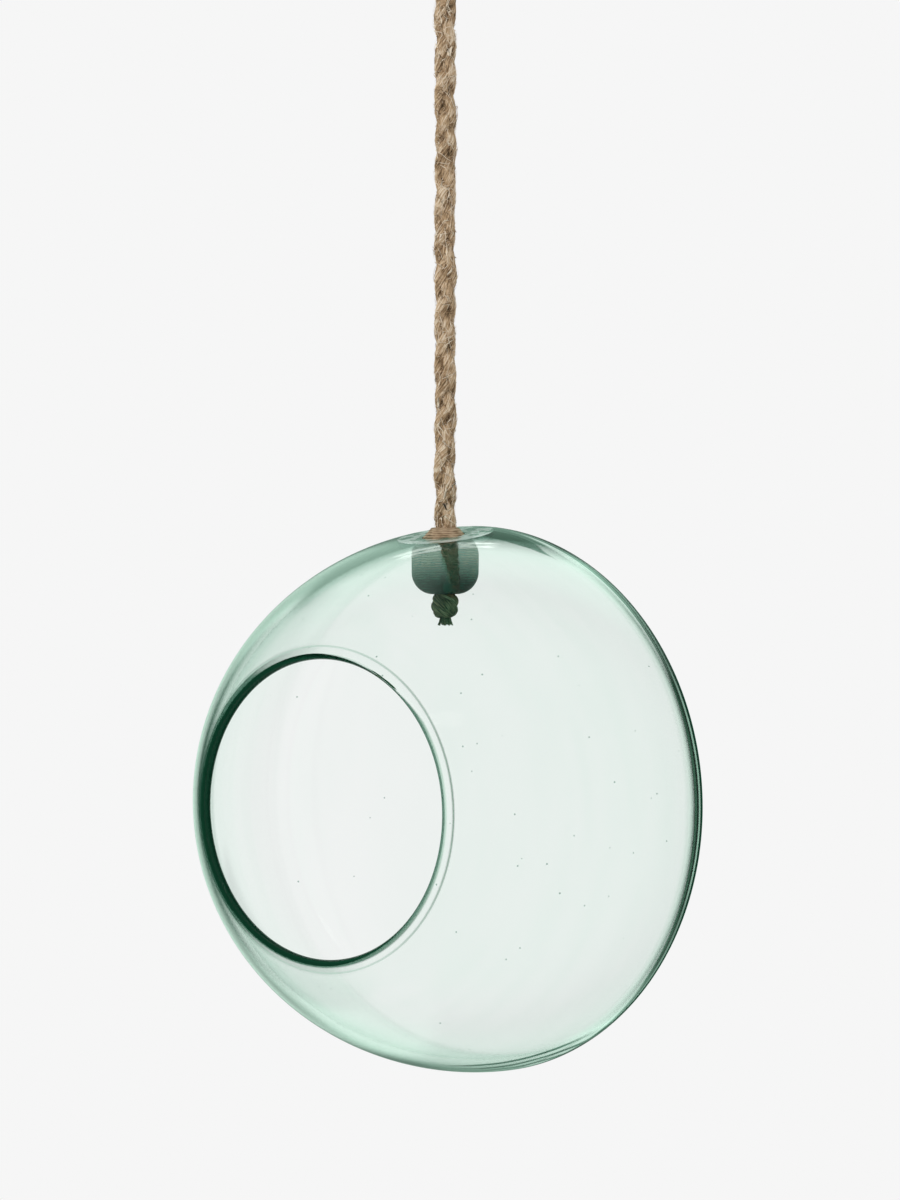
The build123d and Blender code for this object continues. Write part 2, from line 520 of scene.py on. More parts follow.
def loose_fibres_tree():
    """Geometry nodes that scatter short bent fibres over a strand's surface, most of them along its lay."""
    tree = bpy.data.node_groups.new("loose_fibres", "GeometryNodeTree")
    numbers = (
        "Fibres per square metre", "Fibre length", "Fibre radius", "Lift", "Spread", "Stand-off",
        "Darkest", "Palest",
    )
    for label, kind, way in (
        ("Geometry", "Geometry", "INPUT"), *((label, "Float", "INPUT") for label in numbers),
        ("Seed", "Int", "INPUT"), ("Material", "Material", "INPUT"), ("Geometry", "Geometry", "OUTPUT"),
    ):
        tree.interface.new_socket(label, in_out=way, socket_type="NodeSocket" + kind)
    step = partial(node, tree)
    given = step("NodeGroupInput")

    def carried(name, kind):
        return step("GeometryNodeInputNamedAttribute", {"Name": name}, data_type=kind)["Attribute"]

    def between(low, high, seed):
        inputs = {"Min": low, "Max": high, "Seed": seed}
        return step("FunctionNodeRandomValue", inputs, data_type="FLOAT")["Value"]

    def turned(rotation, axis, angle):
        turn = step("FunctionNodeAxisAngleToRotation", {"Axis": axis, "Angle": angle})
        inputs = {"Rotation": rotation, "Rotate By": turn["Rotation"]}
        return step("FunctionNodeRotateRotation", inputs, rotation_space="LOCAL")["Rotation"]

    def marked(mesh, name, value, domain):
        return step("GeometryNodeStoreNamedAttribute", {
            "Geometry": mesh, "Name": name, "Value": value,
        }, data_type="FLOAT", domain=domain)["Geometry"]

    # Where the fibres grow, and how each one lies
    points = step("GeometryNodeDistributePointsOnFaces", {
        "Mesh": given["Geometry"],
        "Density": product(carried("grow", "FLOAT"), given["Fibres per square metre"]),
        "Seed": given["Seed"],
    })
    flow = carried("flow", "FLOAT_VECTOR")
    along = step("FunctionNodeAlignRotationToVector", {"Vector": flow}, axis="X")["Rotation"]
    rotation = step("FunctionNodeAlignRotationToVector", {
        "Rotation": along, "Vector": points["Normal"],
    }, axis="Z", pivot_axis="X")["Rotation"]
    spin = between(product(given["Spread"], -1.0), given["Spread"], given["Seed"])
    rotation = turned(rotation, (0, 0, 1), spin)
    lift = between(0.0, given["Lift"], 3)
    rotation = turned(rotation, (0, 1, 0), product(lift, -1.0))
    # Fibre shapes: the middle and the end of each bend, as shares of its length
    shapes = new_node(tree, "GeometryNodeGeometryToInstance")
    ring = step("GeometryNodeCurvePrimitiveCircle", {"Resolution": 3, "Radius": given["Fibre radius"]})
    for middle, end in (
        ((0.5, 0.06, 0.06), (1, 0, 0.0)), ((0.45, -0.12, 0.03), (0.95, 0.05, 0.06)),
        ((0.6, 0.10, 0.10), (0.9, 0.22, 0.0)), ((0.4, 0.02, 0.02), (1.05, -0.1, -0.04)),
        ((0.6, 0.45, 0.05), (0.85, -0.1, 0.0)), ((0.35, -0.45, 0.05), (0.8, 0.2, 0.0)),
        ((0.8, 0.4, 0.08), (0.4, 0.6, 0.0)),
    ):
        bend = step("GeometryNodeCurveQuadraticBezier", {
            "Resolution": 5,
            "Start": (0, 0, 0),
            "Middle": scaled(middle, given["Fibre length"]),
            "End": scaled(end, given["Fibre length"]),
        })
        fibre = step("GeometryNodeCurveToMesh", {
            "Curve": bend["Curve"], "Profile Curve": ring["Curve"], "Fill Caps": True,
        })
        feed(shapes, {"Geometry": fibre["Mesh"]})
    placed = step("GeometryNodeInstanceOnPoints", {
        "Points": points["Points"], "Instance": shapes.outputs["Instances"], "Pick Instance": True,
        "Rotation": rotation, "Scale": between(0.45, 1.35, 5),
    })["Instances"]
    placed = marked(placed, "loose", between(given["Darkest"], given["Palest"], 8), "INSTANCE")
    real = step("GeometryNodeRealizeInstances", {"Geometry": placed})["Geometry"]
    bare = marked(real, "grow", 0.0, "POINT")
    # Each fibre is drawn in to the strands, so that none stands out further than the stand-off
    strands = step("GeometryNodeProximity", {0: given["Geometry"]}, target_element="FACES")
    place = step("GeometryNodeInputPosition")["Position"]
    off = vector("SUBTRACT", place, strands["Position"])
    reach = maths("ADD", strands["Distance"], given["Stand-off"])
    off = scaled(off, maths("DIVIDE", given["Stand-off"], reach))
    laid = step("GeometryNodeSetPosition", {
        "Geometry": bare, "Position": vector("ADD", strands["Position"], off),
    })
    smooth = step("GeometryNodeSetShadeSmooth", {"Geometry": laid["Geometry"]})
    joined = new_node(tree, "GeometryNodeJoinGeometry")
    feed(joined, {"Geometry": smooth["Geometry"]})
    feed(joined, {"Geometry": given["Geometry"]})
    finished = step("GeometryNodeSetMaterial", {
        "Geometry": joined.outputs["Geometry"], "Material": given["Material"],
    })
    step("NodeGroupOutput", {"Geometry": finished["Geometry"]})
    return tree


def add_fibres(
    piece, seed, density, length, radius=0.1, lift=0.12, spread=1.2, stand_off=0.4, shades=(-0.9, 1.7),
):
    """Gives a piece its loose fibres and keeps the result as its plain mesh; lengths are in millimetres."""
    values = {
        "Fibres per square metre": density, "Fibre length": length * MM, "Fibre radius": radius * MM,
        "Lift": lift, "Spread": spread, "Stand-off": stand_off * MM,
        "Darkest": shades[0], "Palest": shades[1], "Seed": seed, "Material": rope_look,
    }
    modifier = piece.modifiers.new("loose_fibres", "NODES")
    modifier.node_group = fibres_tree
    for socket in fibres_tree.interface.items_tree:
        if socket.in_out == "INPUT" and socket.name in values:
            modifier[socket.identifier] = values[socket.name]
    mesh = evaluated_mesh(piece)
    mesh.name = piece.name
    piece.modifiers.remove(modifier)
    bare = piece.data
    piece.data = mesh
    bpy.data.meshes.remove(bare)


# Materials
def new_material(name):
    """A material with an output and a Principled shader, and its tree."""
    made = bpy.data.materials.new(name)
    made.use_nodes = True
    tree = made.node_tree
    tree.nodes.clear()
    shader = new_node(tree, "ShaderNodeBsdfPrincipled")
    output = new_node(tree, "ShaderNodeOutputMaterial", {"Surface": shader.outputs["BSDF"]})
    return made, tree, shader, output


def rope_material():
    """Plant fibre: streaks along the lay, a tone for each yarn, painted shade in the hollows between the
    strands and pale loose fibres.
    """
    made, tree, shader, _ = new_material("rope_fibre")
    lay = node(tree, "ShaderNodeUVMap", uv_map="lay")["UV"]
    streak = noise(stretched(lay, (15, 1.5, 1)), 1.6, 5, Roughness=0.62)
    patch = noise(object_place(tree), 170, 3, Roughness=0.55)
    # The crevice value darkens the colour as painted shade
    shade = total(
        -1.0, (streak, 2.3), (patch, 0.6), (attribute(tree, "tone"), 0.25),
        (attribute(tree, "hollow"), -0.5), (attribute(tree, "loose"), 0.3),
    )
    thread = noise(stretched(lay, (70, 5, 1)), 1.5, 3)
    feed(shader, {
        "Base Color": colour_ramp(
            shade, (0.05, (0.075, 0.044, 0.023)), (0.34, (0.3, 0.187, 0.102)),
            (0.58, (0.57, 0.395, 0.238)), (0.9, (0.85, 0.73, 0.57)),
        ),
        "Roughness": spanned(streak, 0.72, 0.95),
        "Normal": bumped(thread, 0.55, 0.0004),
        "Specular IOR Level": 0.25,
    })
    return made


def wood_material():
    """Turned wood: mottled figure, fine rings from the lathe, a painted dark reflection streak down one side
    and painted shade that darkens the base.

    The wood is bare above the flat; below it, inside the globe, its colours are a darker, greener copy,
    painted shade and green light from the glass.
    """
    made, tree, shader, _ = new_material("turned_wood")
    place = object_place(tree)
    bands = node(tree, "ShaderNodeTexWave", {
        "Vector": place, "Scale": 330, "Distortion": 4, "Detail": 4, "Detail Scale": 0.6,
    }, wave_type="BANDS", bands_direction="Z")["Fac"]
    pores = noise(stretched(place, (160, 160, 900)), 2, 4)
    patch = noise(place, 190, 4)
    height = node(tree, "ShaderNodeSeparateXYZ", {"Vector": place})["Z"]
    # Painted shade: the wood darkens towards the stopper's base
    base = eased(height, STOPPER_BASE + 17 * MM, STOPPER_BASE + 2 * MM)
    below = eased(height, FLAT_Z + 0.5 * MM, FLAT_Z - 3 * MM)
    bearing = vector("NORMALIZE", vector("MULTIPLY", place, (1, 1, 0)))
    near = dot(bearing, (sin(ROPE_REFLECTION_AZIMUTH), -cos(ROPE_REFLECTION_AZIMUTH), 0))
    # Painted reflection: a dark streak down one side, where the rope is reflected in the glass
    streak = product(eased(total(near, (patch, 0.13)), 0.985, 1.07), below)
    figure = total(-0.56, (pores, 1.05), (bands, 0.4), (patch, 1.25), (base, -0.85), (streak, -0.45))
    bare = colour_ramp(
        figure, (0.06, (0.035, 0.02, 0.012)), (0.38, (0.14, 0.085, 0.048)), (0.6, (0.25, 0.155, 0.09)),
        (0.8, (0.34, 0.225, 0.14)), (1.0, (0.46, 0.33, 0.22)),
    )
    # Painted shade and light: a darker, greener copy of the wood's colours for the part inside the globe
    shaded_green_copy = colour_ramp(
        figure, (0.06, (0.003, 0.022, 0.015)), (0.38, (0.012, 0.125, 0.088)), (0.6, (0.12, 0.086, 0.054)),
        (0.8, (0.28, 0.19, 0.115)), (1.0, (0.44, 0.32, 0.21)),
    )
    # The painted reflection streak turns the shaded copy dark green, less so near the base
    share = total(0.0, (streak, 0.7), (base, -0.4))
    shaded_green_copy = blend(share, shaded_green_copy, (0.002, 0.18, 0.12, 1))
    feed(shader, {
        "Base Color": blend(below, bare, shaded_green_copy),
        "Roughness": spanned(pores, 0.5, 0.75),
        "Normal": bumped(figure, 0.3, 0.0003),
        "Specular IOR Level": 0.25,
    })
    return made


def glass_tint(tree):
    """The green that each part of the wall gathers, by the angle at which it is seen, partly painted shade
    at grazing angles, with painted dark bands of shade at the back's bend, the rim, the lip's shoulder, the
    lip's bead and the seam.
    """
    facing = node(tree, "ShaderNodeLayerWeight", {"Blend": 0.5})["Facing"]
    # The glass's own green, deepened at grazing angles by painted shade at the edges
    tint = colour_ramp(
        facing, (0.42, WHITE), (0.56, (0.95, 0.98, 0.965)), (0.72, (0.9, 0.955, 0.93)),
        (0.85, (0.7, 0.85, 0.78)), (1.0, (0.15, 0.36, 0.26)),
    )
    # Painted shade: each marked place of the wall takes its own darker green, by the angle at which it is
    # seen
    for label, stops in (
        ("bend", (
            (0.5, WHITE), (0.57, (0.75, 0.87, 0.8)), (0.61, (0.47, 0.61, 0.53)),
            (0.67, (0.116, 0.186, 0.145)), (1.0, (0.01, 0.03, 0.02)),
        )),
        ("edge", ((0.21, WHITE), (0.325, (0.006, 0.022, 0.012)), (0.38, (0.003, 0.014, 0.007)))),
        ("shoulder", ((0.3, WHITE), (0.42, (0.08, 0.16, 0.115)), (0.6, (0.0225, 0.06, 0.04)))),
        ("bead", (
            (0.0, (0.38, 0.55, 0.46)), (0.04, (0.2, 0.32, 0.25)), (0.08, (0.12, 0.2, 0.155)),
            (0.14, (0.065, 0.115, 0.085)), (0.27, (0.025, 0.055, 0.04)), (0.51, (0.01, 0.03, 0.02)),
        )),
        ("seam", ((0.0, (0.11, 0.18, 0.14)), (0.3, (0.5, 0.65, 0.57)))),
    ):
        tint = blend(attribute(tree, label), tint, colour_ramp(facing, *stops))
    return tint


def glass_marks(tree, place):
    """The colours of the marks of the making: blown rings, seeds in the wall, tool lines and a fold."""
    rings = noise(stretched(place, (14, 130, 14)), 1, 3)
    cells = node(tree, "ShaderNodeTexVoronoi", {"Vector": place, "Scale": 150})
    chance = node(tree, "ShaderNodeSeparateColor", {"Color": cells["Color"]})["Red"]
    kept = maths("GREATER_THAN", chance, 0.72)
    seeds = product(eased(cells["Distance"], 0.075, 0.045), kept)
    # Place on the globe: millimetres in front of the widest circle, and degrees round the axis
    apart = node(tree, "ShaderNodeSeparateXYZ", {"Vector": place})
    ahead = total(HOLE_FORWARD / MM, (apart["Y"], -1 / MM))
    height = total(-AXIS_Z, (apart["Z"], 1.0))
    angle = total(0.0, (maths("ARCTAN2", height, apart["X"]), 180 / pi))
    wander = noise(place, 45, 2)
    # Tool lines that run along the lower edge
    skew = total(52.7, (ahead, 1.0), (angle, 1.1), (wander, 3.0))
    lines = maths("SINE", total(2.749, (skew, 2 * pi / 8)))
    lines = window((lines, -0.3, 0.6), (skew, -32, -22), (skew, 3, 0), (angle, -88, -78), (angle, -52, -61))
    # Dark fold that leaves the flat towards the right and runs out to a point
    fold = maths("ABSOLUTE", total(-6.9, (ahead, 1.0), (angle, -0.15), (wander, 6.0)))
    fold = total(fold, (eased(angle, 62, 77), -6.5))
    fold = window((fold, 0.7, -0.7), (angle, 61, 66), (angle, 98, 90))
    # The lines and the fold are on the outside alone
    outside = attribute(tree, "outside")
    return (
        colour_ramp(rings, (0.4, WHITE), (0.75, (0.95, 0.98, 0.965))),
        colour_ramp(seeds, (0, WHITE), (1, (0.15, 0.26, 0.21))),
        colour_ramp(product(lines, outside), (0, WHITE), (1, (0.006, 0.03, 0.018))),
        colour_ramp(product(fold, outside), (0, WHITE), (1, (0.05, 0.12, 0.085))),
    )


def glass_material():
    """Clear blown glass, green in its depth, with the marks of its making, a faint waviness, painted dark
    bands of shade and a faint painted glow in the lip.
    """
    made, tree, shader, output = new_material("green_glass")
    place = object_place(tree)
    tint = glass_tint(tree)
    for marks in glass_marks(tree, place):
        tint = blend(1.0, tint, marks, "MULTIPLY")
    # Light is tinted where it enters the glass, and not again where it leaves
    leaving = node(tree, "ShaderNodeNewGeometry")["Backfacing"]
    # The lip's depth glows a little green: painted light, an emission that lifts the dark painted bead
    lip_glow = colour_ramp(attribute(tree, "bead"), (0, (0, 0, 0)), (1, (0.0025, 0.022, 0.011)))
    feed(shader, {
        "Base Color": blend(leaving, tint, (*WHITE, 1)),
        "Roughness": 0.0,
        "IOR": GLASS_IOR,
        "Transmission Weight": 1.0,
        "Specular Tint": GLASS_SPECULAR,
        "Emission Color": lip_glow,
        "Emission Strength": 1.0,
        "Normal": bumped(noise(place, 14, 1), 0.12, 0.002),
    })
    depth = node(tree, "ShaderNodeVolumeAbsorption", {"Color": (0.1, 0.58, 0.34, 1), "Density": 10.0})
    feed(output, {"Volume": depth["Volume"]})
    return made


def ground_material():
    """The flat ground round the rope hole: half clear, with pale streaks that the grinding left, which also
    serve as painted highlight, palest along the front edge.
    """
    made, tree, shader, _ = new_material("ground_glass")
    place = object_place(tree)
    toward = dot(place, -away_from_front)
    angle = maths("ARCTAN2", dot(place, to_right), toward)
    from_rope = vector("LENGTH", vector("MULTIPLY", place, (1, 1, 0)), out="Value")
    polar = node(tree, "ShaderNodeCombineXYZ", {
        "X": total(0.0, (from_rope, 210.0)), "Y": total(3.0, (angle, 2.4)),
    })[0]
    # Painted highlight: the streaks are paler near the flat's front edge
    front_highlight = window((from_rope, 13 * MM, 17 * MM), (toward, 0.0, 10 * MM))
    streaks = total(-0.04, (noise(polar, 1, 2), 1.0), (front_highlight, 0.12))
    feed(shader, {
        "Base Color": colour_ramp(
            streaks, (0.4, (0.22, 0.38, 0.3)), (0.47, (0.48, 0.68, 0.58)), (0.54, (0.84, 1, 0.93)),
        ),
        "Roughness": 0.15,
        "IOR": GLASS_IOR,
        "Transmission Weight": 0.4,
        "Specular Tint": GLASS_SPECULAR,
    })
    return made


rope_look = rope_material()
wood_look = wood_material()
glass_look = glass_material()
ground_look = ground_material()
fibres_tree = loose_fibres_tree()

# Rope pieces
run_line = route_line("run_line", RUN_ROUTE)
loop_line = route_line("loop_line", LOOP_ROUTE)

run_yarn = Yarn()
run_yarn.plait(run_line, to_right, seed=4, turn=0.25)
run = run_yarn.piece("plaited_run")
add_fibres(run, seed=2, density=230000, length=3.6, spread=1.3, stand_off=0.35, shades=(-1.0, 1.0))
add_fibres(
    run, seed=21, density=60000, length=7.5, radius=0.15, lift=0.15, spread=1.4, stand_off=0.6,
    shades=(0.8, 2.6),
)
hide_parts("rope_run")

loop_yarn = Yarn()
loop_yarn.plait(loop_line, (0, 1, 0), seed=5, turn=0.1)
loop = loop_yarn.piece("plaited_loop")
add_fibres(loop, seed=7, density=260000, length=3.4)
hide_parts("hanging_loop")

# Loop knot: turns of the rope round the two legs and the run
knot_yarn = Yarn()
turns = np.linspace(0, 1, 260)
wrap_angle = 2 * pi * KNOT_TURNS * turns + KNOT_START
wrap_radius = KNOT_RADIUS - KNOT_TAPER * (np.abs(2 * turns - 1) ** 6)
wrap = np.stack([
    wrap_radius * np.cos(wrap_angle),
    wrap_radius * np.sin(wrap_angle),
    LOOP_KNOT_TOP - KNOT_END - KNOT_DROP * turns,
], axis=1)
knot_yarn.plait(wrap, (0, 0, 1), seed=6, turn=0.05, width=8.6 * MM, thick=6.6 * MM)
for x, seed in ((-LEG_OFFSET, 8), (LEG_OFFSET, 9)):
    leg = np.linspace((x, 0, LOOP_KNOT_TOP - 0.5 * MM), (x * 0.55, 0, LOOP_KNOT_BOTTOM + 2 * MM), 60)
    knot_yarn.plait(leg, (0, 1, 0), seed=seed, turn=0.1, width=8.6 * MM, thick=6.4 * MM)
loop_knot = knot_yarn.piece("loop_knot_turns")
add_fibres(loop_knot, seed=9, density=160000, length=3.6)
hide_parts("loop_knot")

# End knot: the three strands each laid once round the others
end_yarn = Yarn()
for i in range(3):
    t = np.linspace(0, 1, 120)
    swing = 2 * pi * (i / 3 + 1.15 * t)
    radius = 3.7 * MM * np.sin(pi * np.clip(t * 0.9 + 0.08, 0, 1)) ** 0.5
    z = END_KNOT_TOP - 1.6 * MM - 5.4 * MM * t + 1.3 * MM * np.sin(2 * pi * t)
    centre = np.stack([radius * np.cos(swing), radius * np.sin(swing), z], axis=1)
    line, marks = evenly(centre, 0.5 * MM)
    # The whole end knot takes extra painted shade, for the shade it lies in under the stopper
    end_yarn.strand(
        line, marks, (0, 0, 1), half_width=2.2 * MM, half_depth=2.0 * MM, lay=20 * MM, seed=30 + i,
        crevice_shade_of=lambda v, rows: np.clip(1.55 - np.hypot(v[:, 0], v[:, 1]) / (5.8 * MM), 0, 1),
    )
end_knot = end_yarn.piece("end_knot_turns")
add_fibres(
    end_knot, seed=11, density=60000, length=3, radius=0.07, lift=0.2, spread=0.6, stand_off=0.3,
    shades=(-0.7, 1.3),
)
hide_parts("end_knot")

# Frayed tail below the end knot
tail_yarn = Yarn()
fray = np.random.default_rng(12)
for i in range(FRAY_COUNT):
    direction = fray.uniform(0, 2 * pi)
    share = sqrt(fray.uniform(0, 1))
    t = np.linspace(0, 1, 9)
    spread_at = (2.2 * MM + 1.2 * MM * t**2) * share
    bend = direction + 0.5 * fray.uniform(-1, 1) * t
    fall = (TAIL_BOTTOM - END_KNOT_BOTTOM - FRAY_START) * t * fray.uniform(0.8, 1.0)
    centre = np.stack([
        spread_at * np.cos(bend), spread_at * np.sin(bend), END_KNOT_BOTTOM + FRAY_START + fall,
    ], axis=1)
    # The tail takes an even painted shade
    tail_yarn.strand(
        centre, 4 * MM * t, (1, 0.2, 0), half_width=0.26 * MM, half_depth=0.24 * MM, lay=6 * MM, seed=60 + i,
        crevice_shade_of=lambda v, rows: np.full(len(v), 0.6), lobes=2, around=6,
    )
tail = tail_yarn.piece("frayed_tail")
tail.data.materials.append(rope_look)
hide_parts("rope_tail")

for piece in (run, loop, loop_knot, end_knot, tail):
    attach(piece, "rope")


# Stopper
def rounded(before, at, after, radius, count=24):
    """Points round a corner between two straight sides."""
    before, at, after = map(np.array, (before, at, after))
    a, b = unit(before - at), unit(after - at)
    half = acos(float(a @ b)) / 2
    reach = radius / np.tan(half)
    middle = at + unit(a + b) * radius / sin(half)
    start, end = at + a * reach, at + b * reach
    first = np.arctan2(*(start - middle)[::-1])
    sweep = (np.arctan2(*(end - middle)[::-1]) - first + pi) % (2 * pi) - pi
    turns = [first + sweep * k / count for k in range(count + 1)]
    return [middle + radius * np.array([cos(turn), sin(turn)]) for turn in turns]


def stopper_profile():
    """Radius and height round the stopper's section, with the tool's faint rings on its outside."""
    inner_foot = (BORE_RADIUS, STOPPER_BASE)
    foot = (STOPPER_RADIUS, STOPPER_BASE)
    shoulder = (STOPPER_RADIUS, STOPPER_TOP - STOPPER_CONE)
    top = (STOPPER_TOP_RADIUS, STOPPER_TOP)
    outside = np.array([
        (BORE_RADIUS + 0.4 * MM, STOPPER_BASE),
        *rounded(inner_foot, foot, shoulder, STOPPER_BASE_ROUND),
        *rounded(foot, shoulder, top, STOPPER_ROUND),
        (STOPPER_TOP_RADIUS + 0.3 * MM, STOPPER_TOP - 0.34 * MM),
        (STOPPER_TOP_RADIUS, STOPPER_TOP - 0.1 * MM),
    ])
    length = lengths(outside)[-1]
    marks = np.linspace(0, length, 190)
    fine = at_marks(outside, marks)
    ring_depth, ring_pitch = 0.045 * MM, 0.9 * MM
    rings = ring_depth * (0.5 + 0.5 * np.sin(2 * pi * marks / ring_pitch + 1.5 * np.sin(marks / (4 * MM))))
    fine[:, 0] -= rings * progress(np.minimum(marks, length - marks), 0, 2 * MM)
    inside = [
        (BORE_RADIUS + 0.3 * MM, STOPPER_TOP),
        (BORE_RADIUS, STOPPER_TOP - 0.4 * MM),
        (BORE_RADIUS, STOPPER_BASE + 0.4 * MM),
    ]
    return [(float(r), float(z)) for r, z in fine] + inside


stopper = new_piece("turned_stopper", *lathe(stopper_profile(), STOPPER_SIDES, upright))
stopper.data.materials.append(wood_look)
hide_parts("stopper")
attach(stopper, "stopper")


# Globe
def globe_profile():
    """Radius and forward distance round the globe's section, and the lip's middle and radius."""
    back = (pi / 2) * np.linspace(1, 0, 57) ** 1.35
    front = np.linspace(0, 1, 76)[1:] * LIP_TURN
    edge_turns = np.arange(0.25, 4.3, 0.35) * MM / DOME_DEPTH
    seam_turns = [asin((SEAM_FORWARD + d * MM) / DOME_DEPTH) for d in (-0.5, -0.1, 0.1, 0.5)]
    outer = [(GLOBE_RADIUS * cos(t), -BACK_DEPTH * sin(t)) for t in back]
    dome = sorted([*front, *seam_turns, *edge_turns])
    outer += [(GLOBE_RADIUS * cos(t), DOME_DEPTH * sin(t)) for t in dome]
    inner = [(INNER_RADIUS * cos(t), -INNER_BACK * sin(t)) for t in back]
    inner += [(INNER_RADIUS * cos(t), INNER_DOME * sin(t)) for t in front]
    a, b = np.array(outer[-1]), np.array(inner[-1])
    middle, half = (a + b) / 2, (a - b) / 2
    out = np.array([-half[1], half[0]])
    lip = [tuple(middle + half * cos(t) + out * sin(t)) for t in np.linspace(0, pi, 18)[1:-1]]
    outer[0] = (0.0, -BACK_DEPTH)
    inner[0] = (0.0, -INNER_BACK)
    return outer + lip + inner[::-1], middle, float(np.linalg.norm(half))


def globe_place(r, s, angle):
    """A place on a body that is turned about the globe's axis."""
    return (r * cos(angle), GLOBE_MIDDLE[1] - s, GLOBE_MIDDLE[2] + r * sin(angle))


def flat_place(r, d, angle):
    """A place on a body that stands on the flat."""
    across = np.array([1.0, 0, 0])
    along = np.cross(FLAT_NORMAL, across)
    return np.array([0, 0, FLAT_Z]) + FLAT_NORMAL * d + r * (across * cos(angle) + along * sin(angle))


def face_outward(mesh):
    """Turns a closed mesh's faces outward."""
    mesh.calc_loop_triangles()
    corners = read(mesh.loop_triangles, "vertices", 3, np.int32)
    a, b, c = read(mesh.vertices, "co", 3)[corners.T]
    if (a * np.cross(b, c)).sum() < 0:
        mesh.flip_normals()


profile, lip_middle, lip_radius = globe_profile()
globe = new_piece("glass_globe", *lathe(profile, GLOBE_SIDES, globe_place))

# Flat and tapered hole cut from the globe's top
reach, rise = 0.045, 0.02
flat_shape = [(0, 0), (reach, 0), (reach, rise), (0, rise)]
low, high = STOPPER_TOP - 14 * MM, STOPPER_TOP + 2 * MM
hole_shape = [(0, low), (seat_radius(low), low), (seat_radius(high), high), (0, high)]
cutters = [
    new_piece("flat_cutter", *lathe(flat_shape, CUTTER_SIDES, flat_place)),
    new_piece("hole_cutter", *lathe(hole_shape, CUTTER_SIDES, upright)),
]
for piece in (globe, *cutters):
    face_outward(piece.data)
for cutter in cutters:
    modifier = globe.modifiers.new(cutter.name, "BOOLEAN")
    modifier.operation = "DIFFERENCE"
    modifier.solver = "EXACT"
    modifier.object = cutter
cut = evaluated_mesh(globe)
globe.modifiers.clear()
globe.data = cut
for cutter in cutters:
    bpy.data.objects.remove(cutter)


def from_middle(places):
    """Places from the globe's middle, with each one's forward distance and its distance from the axis."""
    rel = places - GLOBE_MIDDLE
    return rel, -rel[:, 1], np.hypot(rel[:, 0], rel[:, 2])


def wall_level(s, r, radius, dome, back):
    """1 on an ellipse of the wall, more outside it and less inside it."""
    return np.hypot(r / radius, s / np.where(s > 0, dome, back))


def wall_normal(rel, s, radius, dome, back):
    """Outward direction of an ellipse of the wall."""
    depth = np.where(s > 0, dome, back)
    return np.stack([rel[:, 0] / radius**2, -s / depth**2, rel[:, 2] / radius**2], axis=1)


OUTER_WALL = (GLOBE_RADIUS, DOME_DEPTH, BACK_DEPTH)
INNER_WALL = (INNER_RADIUS, INNER_DOME, INNER_BACK)


def globe_normals(mesh):
    """The true surface's normal at each face corner, so that the glass bends light as a smooth wall does."""
    places = read(mesh.vertices, "co", 3)[read(mesh.loops, "vertex_index", kind=np.int32)]
    totals = read(mesh.polygons, "loop_total", kind=np.int32)
    centres = read(mesh.polygons, "center", 3)
    facing = read(mesh.polygons, "normal", 3)
    # Which surface each face belongs to: outer wall 0, inner wall 1, lip 2, flat 3, hole 4
    _, s, r = from_middle(centres)
    on_outer = np.abs(wall_level(s, r, *OUTER_WALL) - 1) < WALL_MARGIN
    on_inner = np.abs(wall_level(s, r, *INNER_WALL) - 1) < WALL_MARGIN
    on_flat = (np.abs((centres - [0, 0, FLAT_Z]) @ FLAT_NORMAL) < 1e-5) & (facing @ FLAT_NORMAL > 0.99)
    from_rope = np.hypot(centres[:, 0], centres[:, 1])
    in_hole = (np.abs(from_rope - seat_radius(centres[:, 2])) < 2e-4) & (centres[:, 2] > FLAT_Z - 9 * MM)
    in_hole &= (facing[:, 0] * centres[:, 0] + facing[:, 1] * centres[:, 1]) < 0
    kind = np.where(on_outer, 0, np.where(on_inner, 1, 2))
    kind = np.where(on_flat, 3, np.where(in_hole, 4, kind))
    mesh.polygons.foreach_set("material_index", (kind == 3).astype(np.int32))
    kind = np.repeat(kind, totals)
    rel, s, r = from_middle(places)
    off = np.stack([r - lip_middle[0], s - lip_middle[1]], axis=1)
    radial = rel / np.maximum(r, 1e-9)[:, None]
    found = np.choose(kind[:, None], [
        unit(wall_normal(rel, s, *OUTER_WALL)),
        unit(-wall_normal(rel, s, *INNER_WALL)),
        unit(np.stack([radial[:, 0] * off[:, 0], -off[:, 1], radial[:, 2] * off[:, 0]], axis=1)),
        np.broadcast_to(FLAT_NORMAL, places.shape),
        unit(-unit(places * [1, 1, 0]) - [0, 0, CONE_SLOPE]),
    ])
    return unit(found)


